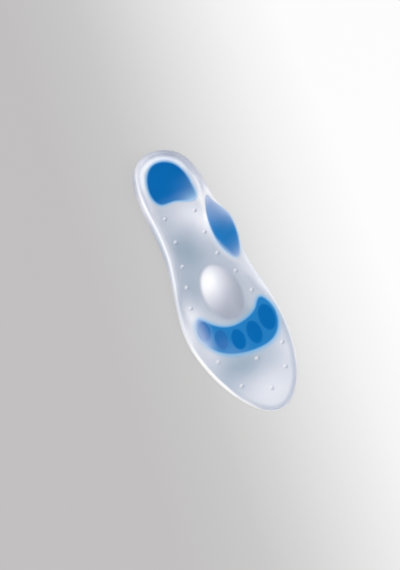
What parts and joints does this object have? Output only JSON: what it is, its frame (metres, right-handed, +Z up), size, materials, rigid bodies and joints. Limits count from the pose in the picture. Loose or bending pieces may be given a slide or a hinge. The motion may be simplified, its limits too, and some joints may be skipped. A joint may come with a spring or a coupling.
{
  "type": "arch support insole",
  "caption": "Full-length clear silicone shoe insole for a right foot, with a heel cup, raised arch wing, metatarsal dome and soft blue gel pads set flush under heel, arch and ball.",
  "frame": {"origin": "centre of the bounding box on the flat underside, where the insole rests in a shoe or on a table", "axes": "+Z up towards the foot, +Y towards the heel, -Y towards the toes, +X towards the inner (arch) side of a right foot"},
  "size_m": [0.0854, 0.26, 0.021],
  "materials": {
    "clear_silicone": "clear milky silicone, smooth gloss",
    "blue_silicone": "mid-blue soft silicone, smooth satin gloss",
    "deep_blue_silicone": "deep blue soft silicone, smooth satin gloss"
  },
  "bodies": {
    "root": {"footbed": "clear_silicone", "heel_pad": "deep_blue_silicone", "arch_pad": "deep_blue_silicone", "metatarsal_band": "blue_silicone", "metatarsal_cell_1": "deep_blue_silicone", "metatarsal_cell_2": "deep_blue_silicone", "metatarsal_cell_3": "deep_blue_silicone", "metatarsal_cell_4": "deep_blue_silicone", "metatarsal_cell_5": "deep_blue_silicone"}
  },
  "joints": []
}
